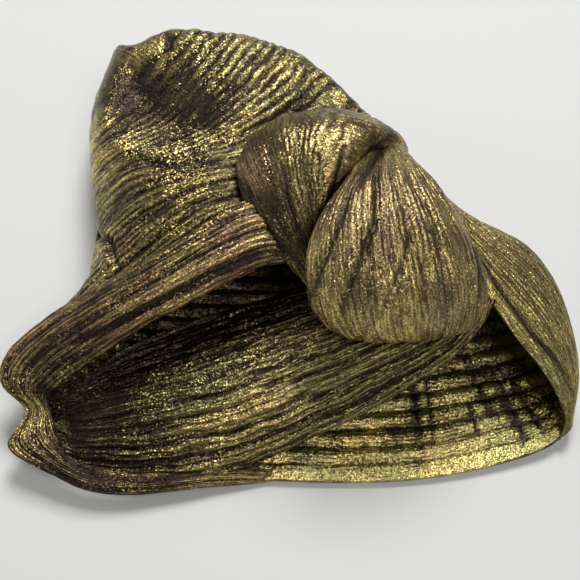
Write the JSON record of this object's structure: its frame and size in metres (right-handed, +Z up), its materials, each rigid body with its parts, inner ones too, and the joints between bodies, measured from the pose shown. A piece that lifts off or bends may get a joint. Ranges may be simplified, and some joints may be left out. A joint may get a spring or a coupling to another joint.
{
  "type": "knotted turban cap",
  "caption": "Soft knitted turban cap with a knot of crossed loops at the front, lying on its back with its mouth open.",
  "frame": {"origin": "middle of the flat underside of the back panel, on the table that the cap lies on", "axes": "-Y out of the cap's mouth, +Y towards the crown, +Z up through the knot, +X to the right as seen from the mouth"},
  "size_m": [0.277, 0.2759, 0.0999],
  "materials": {
    "pleated_knit": "pleated knit of black yarn and gold metallic thread"
  },
  "bodies": {
    "root": {"crown": "pleated_knit", "back_panel": "pleated_knit", "left_band": "pleated_knit", "right_band": "pleated_knit", "under_wrap": "pleated_knit", "left_loop": "pleated_knit", "right_loop": "pleated_knit"}
  },
  "joints": []
}
